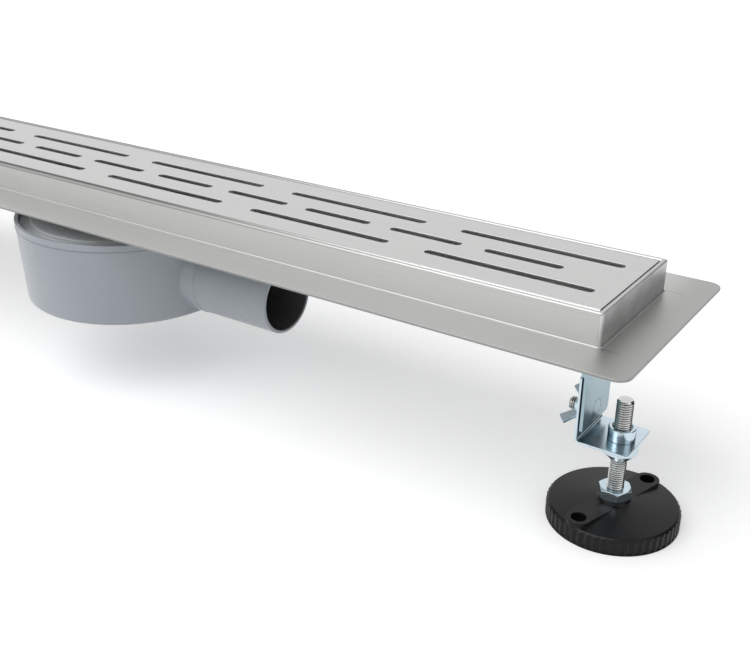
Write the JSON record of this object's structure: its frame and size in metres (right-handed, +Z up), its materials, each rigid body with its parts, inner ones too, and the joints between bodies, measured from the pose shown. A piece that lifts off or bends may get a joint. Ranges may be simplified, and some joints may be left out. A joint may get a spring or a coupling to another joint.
{
  "type": "linear shower drain",
  "caption": "Long stainless floor drain with a slotted cover and a tiling flange, a low round water trap with a side outlet, and height-adjustable legs on fluted feet.",
  "frame": {"origin": "on the floor under the middle of the drain", "axes": "+X along the drain towards the end that the outlet points to, +Y across it, +Z up"},
  "size_m": [0.879, 0.162, 0.15],
  "materials": {
    "stainless": "brushed",
    "stainless_cover": "satin",
    "grey_plastic": "satin",
    "light_plastic": "satin",
    "seal_rubber": "matt",
    "zinc": "blue zinc plated",
    "black_plastic": "moulded matt"
  },
  "bodies": {
    "channel": {"channel_body": "stainless", "grate": "stainless_cover", "trap_pot": "grey_plastic", "trap_lid": "light_plastic", "trap_gasket": "seal_rubber", "inlet_collar": "light_plastic", "dip_tube": "light_plastic", "insert_seal": "seal_rubber", "seal_cup": "light_plastic", "hair_strainer": "light_plastic", "hanger_right": "zinc", "clamp_stud_right": "zinc", "washer_right": "zinc", "hanger_left": "zinc", "clamp_stud_left": "zinc", "washer_left": "zinc"},
    "bracket_right": {"bracket_right": "zinc", "threaded_bush_right": "zinc"},
    "foot_right": {"height_stud_right": "zinc", "hex_nut_right": "zinc", "foot_right": "black_plastic"},
    "wing_nut_right": {"wing_nut_right": "zinc"},
    "bracket_left": {"bracket_left": "zinc", "threaded_bush_left": "zinc"},
    "foot_left": {"height_stud_left": "zinc", "hex_nut_left": "zinc", "foot_left": "black_plastic"},
    "wing_nut_left": {"wing_nut_left": "zinc"}
  },
  "joints": [
    {"name": "bracket_height_right", "type": "slide", "parent": "channel", "child": "bracket_right", "axis": [0, 0, 1], "range_m": [-0.016, 0]},
    {"name": "foot_height_right", "type": "slide", "parent": "bracket_right", "child": "foot_right", "axis": [0, 0, 1], "range_m": [-0.018, 0.018]},
    {"name": "wing_nut_turn_right", "type": "hinge", "parent": "channel", "child": "wing_nut_right", "pos_m": [0.37, 0, 0.068], "axis": [-1, 0, 0], "continuous": true},
    {"name": "bracket_height_left", "type": "slide", "parent": "channel", "child": "bracket_left", "axis": [0, 0, 1], "range_m": [-0.016, 0]},
    {"name": "foot_height_left", "type": "slide", "parent": "bracket_left", "child": "foot_left", "axis": [0, 0, 1], "range_m": [-0.018, 0.018]},
    {"name": "wing_nut_turn_left", "type": "hinge", "parent": "channel", "child": "wing_nut_left", "pos_m": [-0.37, 0, 0.068], "axis": [1, 0, 0], "continuous": true}
  ]
}
